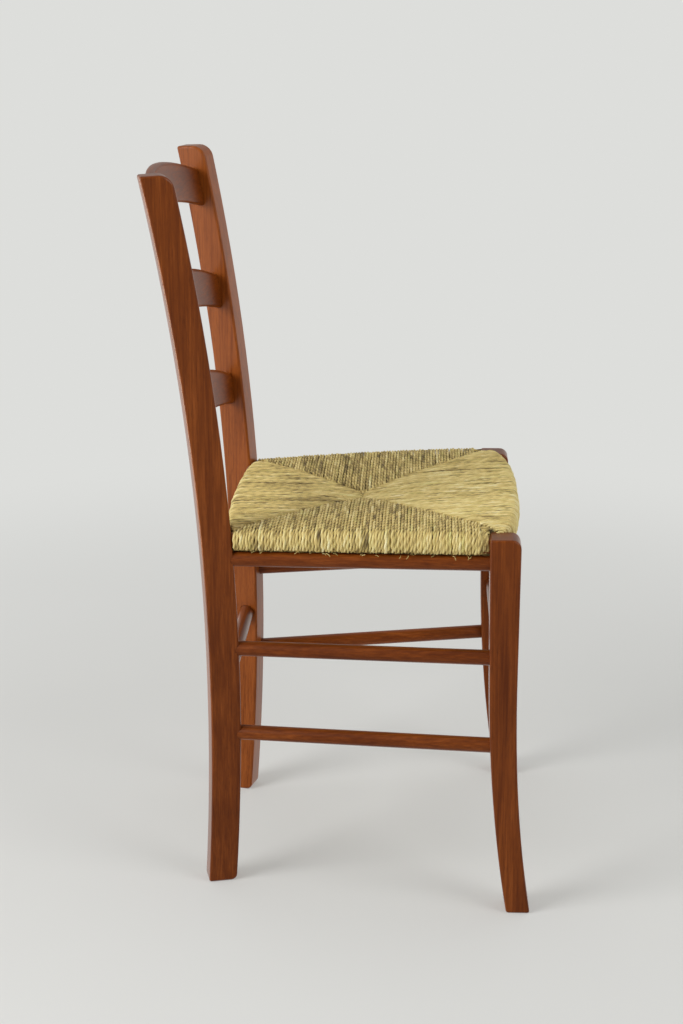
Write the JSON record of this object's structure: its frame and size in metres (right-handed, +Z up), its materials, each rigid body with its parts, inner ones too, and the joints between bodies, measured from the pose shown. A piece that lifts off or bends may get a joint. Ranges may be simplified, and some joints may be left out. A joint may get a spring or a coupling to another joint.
{
  "type": "dining chair",
  "caption": "Ladder-back dining chair with a woven rush seat, bowed arched slats, swept back posts, sabre front legs and round stretchers.",
  "frame": {"origin": "on the floor, at the centre of the chair's box", "axes": "+Z up; -Y is the chair's front, +Y its back; +X is the left-hand side of a person sitting in it"},
  "size_m": [0.4508, 0.4683, 0.882],
  "materials": {
    "leg_wood": "stained beech, satin lacquer",
    "slat_wood": "stained beech, satin lacquer",
    "rod_wood": "stained beech, satin lacquer",
    "rail_wood": "stained beech, thin lacquer",
    "rush": "twisted rush cord, dry and matt"
  },
  "bodies": {
    "root": {"rear_leg_left": "leg_wood", "rear_leg_right": "leg_wood", "front_leg_left": "leg_wood", "front_leg_right": "leg_wood", "top_slat": "slat_wood", "middle_slat": "slat_wood", "lower_slat": "slat_wood", "seat_rod_left": "rod_wood", "seat_rod_right": "rod_wood", "upper_stretcher_left": "rod_wood", "upper_stretcher_right": "rod_wood", "lower_stretcher_left": "rod_wood", "lower_stretcher_right": "rod_wood", "front_stretcher": "rod_wood", "rear_stretcher": "rod_wood", "seat_rail_front": "rail_wood", "seat_rail_rear": "rail_wood", "seat_rail_left": "rail_wood", "seat_rail_right": "rail_wood", "rush_seat": "rush"}
  },
  "joints": []
}
